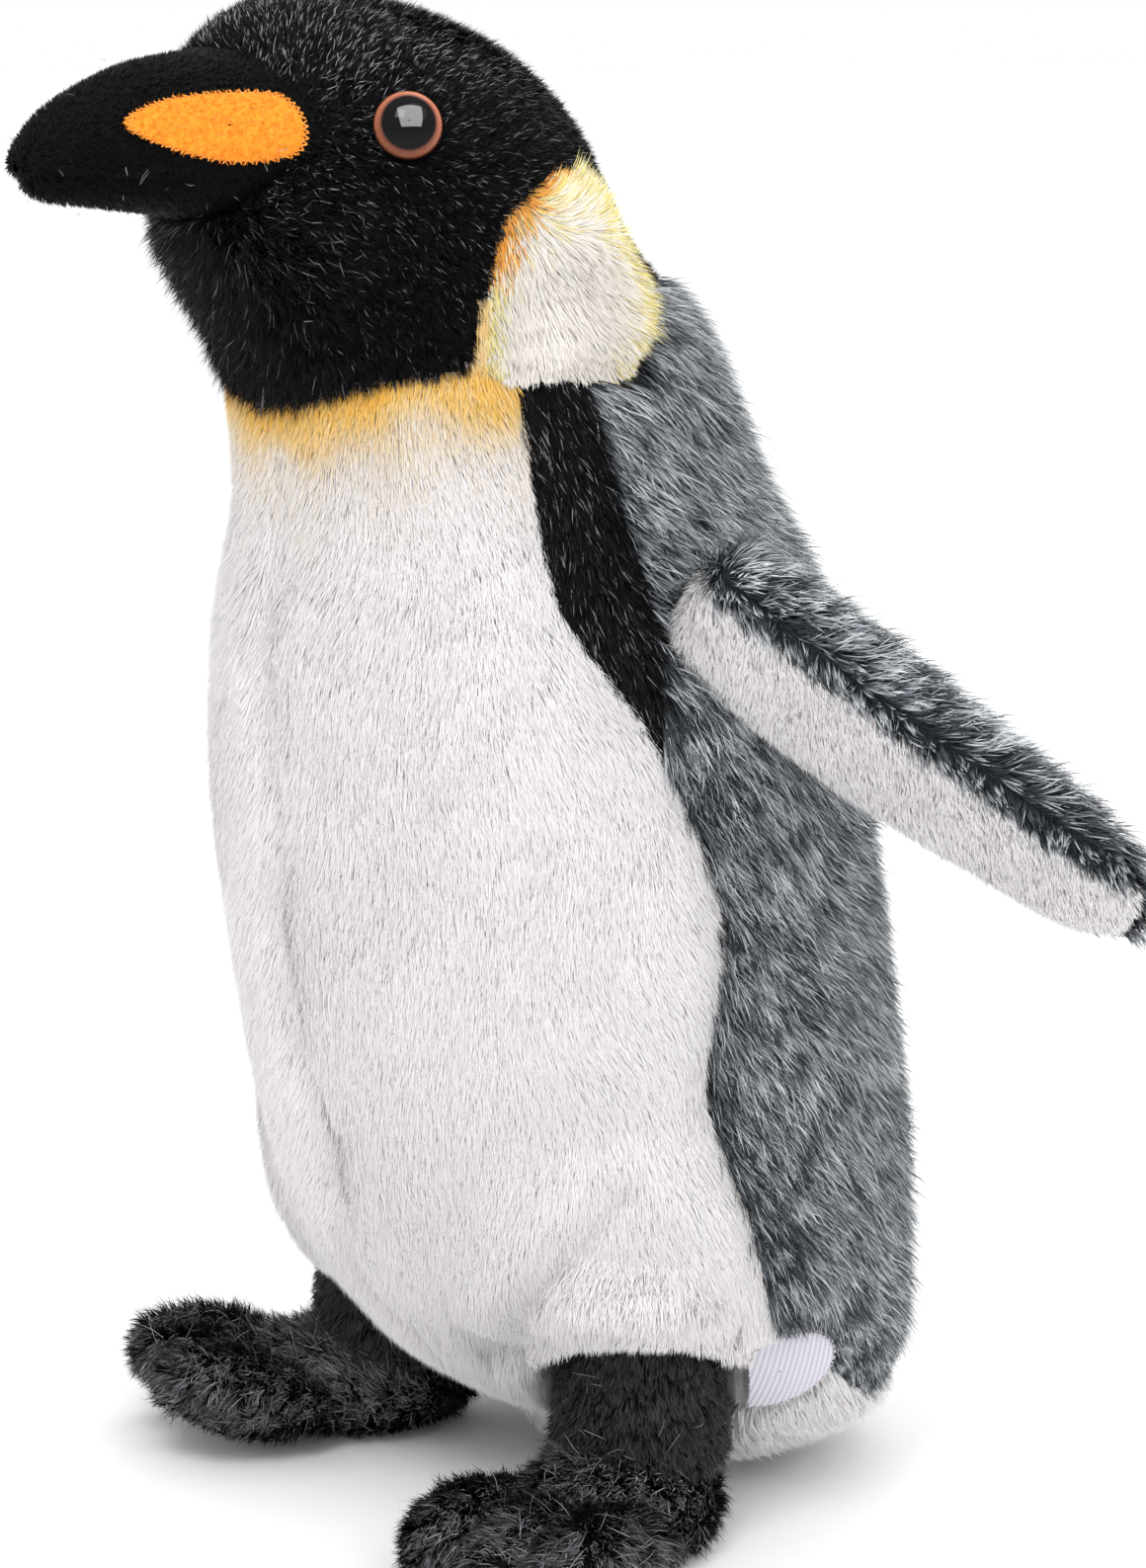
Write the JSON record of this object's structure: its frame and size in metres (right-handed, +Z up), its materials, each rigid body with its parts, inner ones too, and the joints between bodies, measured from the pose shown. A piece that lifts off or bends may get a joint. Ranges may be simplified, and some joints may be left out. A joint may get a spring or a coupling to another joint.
{
  "type": "plush penguin",
  "caption": "Standing plush penguin with long pile fabric, glossy safety eyes, flippers that flex at the shoulder seam and legs that swing under padded trousers.",
  "frame": {"origin": "centre of the flat face under the body, on the floor", "axes": "+Z up, beak towards -Y, the toy's own left side towards +X"},
  "size_m": [0.223, 0.1678, 0.26],
  "materials": {
    "black_plush": "short dense pile",
    "beak_velour": "velour",
    "foot_plush": "tousled short pile",
    "white_plush": "long soft pile",
    "grey_plush": "long streaked pile",
    "cream_plush": "long pile",
    "orange_felt": "felt",
    "label_cloth": "ribbed satin",
    "eye_plastic": "gloss",
    "washer_plastic": "matte",
    "filling": "loose fibre",
    "bag_cloth": "woven"
  },
  "bodies": {
    "torso": {"head_side_left": "black_plush", "head_side_right": "black_plush", "side_stripe_left": "black_plush", "side_stripe_right": "black_plush", "beak_upper": "beak_velour", "beak_lower": "beak_velour", "belly_left": "white_plush", "belly_right": "white_plush", "thigh_left": "white_plush", "thigh_right": "white_plush", "base_panel": "white_plush", "back": "grey_plush", "ear_patch_left": "cream_plush", "ear_patch_right": "cream_plush", "beak_patch_left": "orange_felt", "beak_patch_right": "orange_felt", "base_label": "label_cloth", "eye_left": "eye_plastic", "eye_right": "eye_plastic", "eye_washer_left": "washer_plastic", "eye_washer_right": "washer_plastic", "body_stuffing": "filling", "beak_stuffing": "filling", "pellet_bag": "bag_cloth"},
    "wing_left": {"wing_outer_left": "grey_plush", "wing_inner_left": "white_plush", "wing_stuffing_left": "filling"},
    "leg_left": {"leg_left": "black_plush", "leg_stuffing_left": "filling", "foot_upper_left": "foot_plush", "foot_sole_left": "foot_plush", "foot_stuffing_left": "filling"},
    "wing_right": {"wing_outer_right": "grey_plush", "wing_inner_right": "white_plush", "wing_stuffing_right": "filling"},
    "leg_right": {"leg_right": "black_plush", "leg_stuffing_right": "filling", "foot_upper_right": "foot_plush", "foot_sole_right": "foot_plush", "foot_stuffing_right": "filling"}
  },
  "joints": [
    {"name": "wing_left_flap", "type": "hinge", "parent": "torso", "child": "wing_left", "pos_m": [0.0555, -0.0281, 0.1665], "axis": [0.7089, -0.0431, 0.704], "range_deg": [-25, 20], "stiffness_Nm_per_rad": 0.3},
    {"name": "wing_right_flap", "type": "hinge", "parent": "torso", "child": "wing_right", "pos_m": [-0.0555, -0.0281, 0.1665], "axis": [0.7089, 0.0431, -0.704], "range_deg": [-25, 20], "stiffness_Nm_per_rad": 0.3},
    {"name": "leg_left_swing", "type": "hinge", "parent": "torso", "child": "leg_left", "pos_m": [0.038, -0.023, 0.034], "axis": [-1, 0, 0], "range_deg": [-8, 20], "stiffness_Nm_per_rad": 0.6},
    {"name": "leg_right_swing", "type": "hinge", "parent": "torso", "child": "leg_right", "pos_m": [-0.038, -0.023, 0.034], "axis": [-1, 0, 0], "range_deg": [-8, 20], "stiffness_Nm_per_rad": 0.6}
  ]
}
